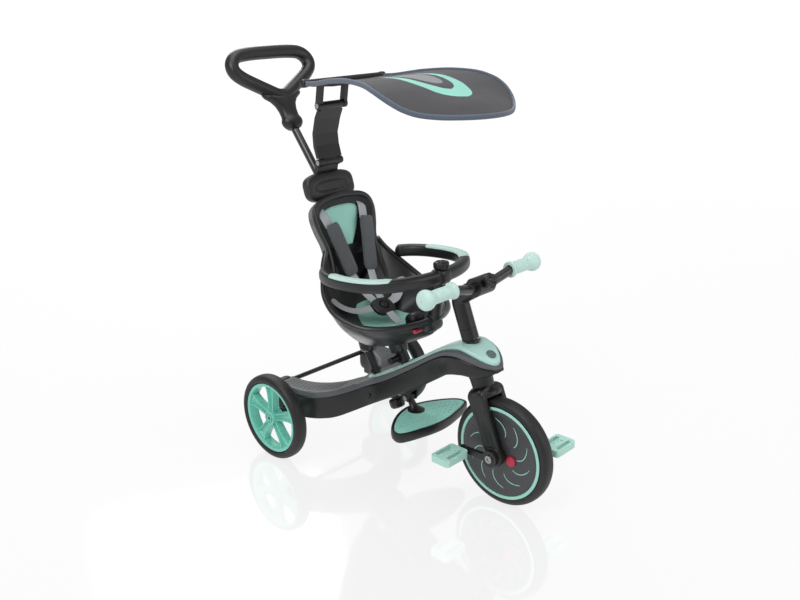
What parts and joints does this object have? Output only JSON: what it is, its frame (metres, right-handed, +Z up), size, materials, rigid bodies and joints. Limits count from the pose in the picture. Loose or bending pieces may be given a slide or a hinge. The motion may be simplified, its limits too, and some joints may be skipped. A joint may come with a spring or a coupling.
{
  "type": "children's tricycle",
  "caption": "Convertible children's tricycle with pedals on the front wheel, harnessed bucket seat, safety ring, push handle, sun canopy and foot platform.",
  "frame": {"origin": "on the ground under the middle of the overall length and width", "axes": "+X forward, +Y to the rider's left, +Z up"},
  "size_m": [0.9154, 0.474, 0.9697],
  "materials": {
    "black_plastic": "fine moulded texture",
    "grey_deck": "ribbed satin moulding",
    "mint_cover": "satin moulding",
    "mint_grip": "soft matt",
    "mint_hub": "satin moulding",
    "mint_pedal": "satin moulding",
    "mint_panel": "satin moulding",
    "mint_tread": "studded",
    "tyre_black": "smooth solid tyre",
    "disc_grey": "satin moulding",
    "seat_grey": "satin moulding",
    "headrest_black": "fine grained foam skin",
    "ring_foam": "soft satin",
    "steel_black": "gloss powder coat",
    "steel_plain": "plain steel",
    "bush_white": "acetal",
    "plug_grey": "satin",
    "red_button": "satin",
    "pad_fabric": "bonded mesh",
    "webbing": "woven",
    "canopy_fabric": "woven polyester"
  },
  "bodies": {
    "frame": {"chassis_shell": "black_plastic", "deck_band": "grey_deck", "head_and_beam_cover": "mint_cover", "cross_rod": "steel_plain", "head_bushes": "black_plastic", "nose_plug": "plug_grey", "rear_axles": "steel_plain", "post_feet": "black_plastic", "platform_clevis": "black_plastic"},
    "steering": {"fork": "black_plastic", "steerer_tube": "steel_black", "stem_collar": "black_plastic", "stem": "black_plastic", "axle_bushes": "bush_white"},
    "handlebar": {"handlebar": "steel_black", "grips": "mint_grip"},
    "bar_knob": {"handlebar_knob": "black_plastic"},
    "front_wheel": {"front_tyre": "tyre_black", "front_discs": "disc_grey", "front_trim_rings": "mint_hub", "front_axle": "steel_plain", "cranks": "black_plastic", "crank_bolts": "steel_plain", "pedal_spindles": "steel_plain"},
    "release_button": {"pedal_release_button": "red_button"},
    "pedal_right": {"pedal_right": "mint_pedal"},
    "pedal_left": {"pedal_left": "mint_pedal"},
    "rear_wheel_right": {"rear_tyre_right": "tyre_black", "rear_hub_right": "mint_hub"},
    "rear_wheel_left": {"rear_tyre_left": "tyre_black", "rear_hub_left": "mint_hub"},
    "seat": {"seat_posts": "black_plastic", "seat_shell": "seat_grey", "back_shell": "seat_grey", "back_liner": "black_plastic", "back_insert": "mint_panel", "seat_insert": "mint_panel", "headrest": "headrest_black", "canopy_bracket": "black_plastic", "shoulder_pads": "pad_fabric", "harness_webbing": "webbing", "buckle": "black_plastic"},
    "buckle_button": {"buckle_button": "black_plastic"},
    "post_clamp": {"post_clamp_handle": "black_plastic"},
    "push_handle": {"push_shaft": "steel_black", "push_grip": "black_plastic"},
    "canopy_arm": {"canopy_arm": "black_plastic", "canopy_hinge_pins": "steel_plain"},
    "canopy": {"canopy_carrier": "black_plastic", "canopy_cloth": "canopy_fabric", "canopy_bar": "black_plastic"},
    "ring": {"safety_ring": "ring_foam", "ring_inserts": "mint_grip", "ring_tee": "black_plastic"},
    "ring_knob": {"ring_knob": "black_plastic"},
    "ring_button": {"ring_release_button": "red_button"},
    "foot_platform": {"platform_post": "black_plastic", "platform_tray": "black_plastic", "platform_tread": "mint_tread", "platform_pin": "steel_plain"},
    "beam_knob": {"beam_knob": "black_plastic"}
  },
  "joints": [
    {"name": "steer", "type": "hinge", "parent": "frame", "child": "steering", "pos_m": [0.2297, 0, 0.366], "axis": [-0.3665, 0, 0.9304], "range_deg": [-35, 35]},
    {"name": "handlebar_tilt", "type": "hinge", "parent": "steering", "child": "handlebar", "pos_m": [0.2537, 0, 0.5], "axis": [0, 1, 0], "range_deg": [-15, 15]},
    {"name": "bar_knob_turn", "type": "hinge", "parent": "steering", "child": "bar_knob", "pos_m": [0.2723, 0, 0.512], "axis": [0.8398, 0, 0.5429], "continuous": true},
    {"name": "front_wheel_spin", "type": "hinge", "parent": "steering", "child": "front_wheel", "pos_m": [0.3307, 0, 0.127], "axis": [0, 1, 0], "continuous": true},
    {"name": "release_button_press", "type": "slide", "parent": "front_wheel", "child": "release_button", "axis": [0, 1, 0], "range_m": [0, 0.002], "stiffness_N_per_m": 400},
    {"name": "right_pedal_spin", "type": "hinge", "parent": "front_wheel", "child": "pedal_right", "pos_m": [0.25181, -0.094, 0.12287], "axis": [0, 1, 0], "continuous": true},
    {"name": "left_pedal_spin", "type": "hinge", "parent": "front_wheel", "child": "pedal_left", "pos_m": [0.40959, 0.094, 0.13113], "axis": [0, 1, 0], "continuous": true},
    {"name": "right_rear_wheel_spin", "type": "hinge", "parent": "frame", "child": "rear_wheel_right", "pos_m": [-0.2093, -0.219, 0.108], "axis": [0, 1, 0], "continuous": true},
    {"name": "left_rear_wheel_spin", "type": "hinge", "parent": "frame", "child": "rear_wheel_left", "pos_m": [-0.2093, 0.219, 0.108], "axis": [0, 1, 0], "continuous": true},
    {"name": "seat_height", "type": "slide", "parent": "frame", "child": "seat", "axis": [-0.5, 0, 0.866], "range_m": [0, 0.035]},
    {"name": "post_clamp_turn", "type": "hinge", "parent": "frame", "child": "post_clamp", "pos_m": [0.0167, -0.02, 0.264], "axis": [0, 1, 0], "continuous": true},
    {"name": "push_handle_height", "type": "slide", "parent": "seat", "child": "push_handle", "axis": [-0.6223, 0, 0.7828], "range_m": [0, 0.05]},
    {"name": "canopy_arm_fold", "type": "hinge", "parent": "seat", "child": "canopy_arm", "pos_m": [-0.2203, 0, 0.709], "axis": [0, 1, 0], "range_deg": [-8, 15]},
    {"name": "canopy_tilt", "type": "hinge", "parent": "canopy_arm", "child": "canopy", "pos_m": [-0.2083, 0, 0.845], "axis": [0, 1, 0], "range_deg": [-15, 15]},
    {"name": "ring_lift_out", "type": "slide", "parent": "seat", "child": "ring", "axis": [0.124, 0, 0.9923], "range_m": [0, 0.06]},
    {"name": "ring_knob_turn", "type": "hinge", "parent": "ring", "child": "ring_knob", "pos_m": [0.14066, 0, 0.51351], "axis": [-0.0698, 0, 0.9976], "continuous": true},
    {"name": "ring_button_press", "type": "slide", "parent": "seat", "child": "ring_button", "axis": [0, 1, 0], "range_m": [0, 0.0015], "stiffness_N_per_m": 400},
    {"name": "buckle_button_press", "type": "slide", "parent": "seat", "child": "buckle_button", "axis": [-0.4983, 0, -0.867], "range_m": [0, 0.0012], "stiffness_N_per_m": 400},
    {"name": "foot_platform_fold", "type": "hinge", "parent": "frame", "child": "foot_platform", "pos_m": [0.0437, 0, 0.168], "axis": [0, -1, 0], "range_deg": [0, 25]},
    {"name": "beam_knob_turn", "type": "hinge", "parent": "frame", "child": "beam_knob", "pos_m": [-0.0043, 0, 0.147], "axis": [0.4202, 0, -0.9074], "continuous": true}
  ]
}
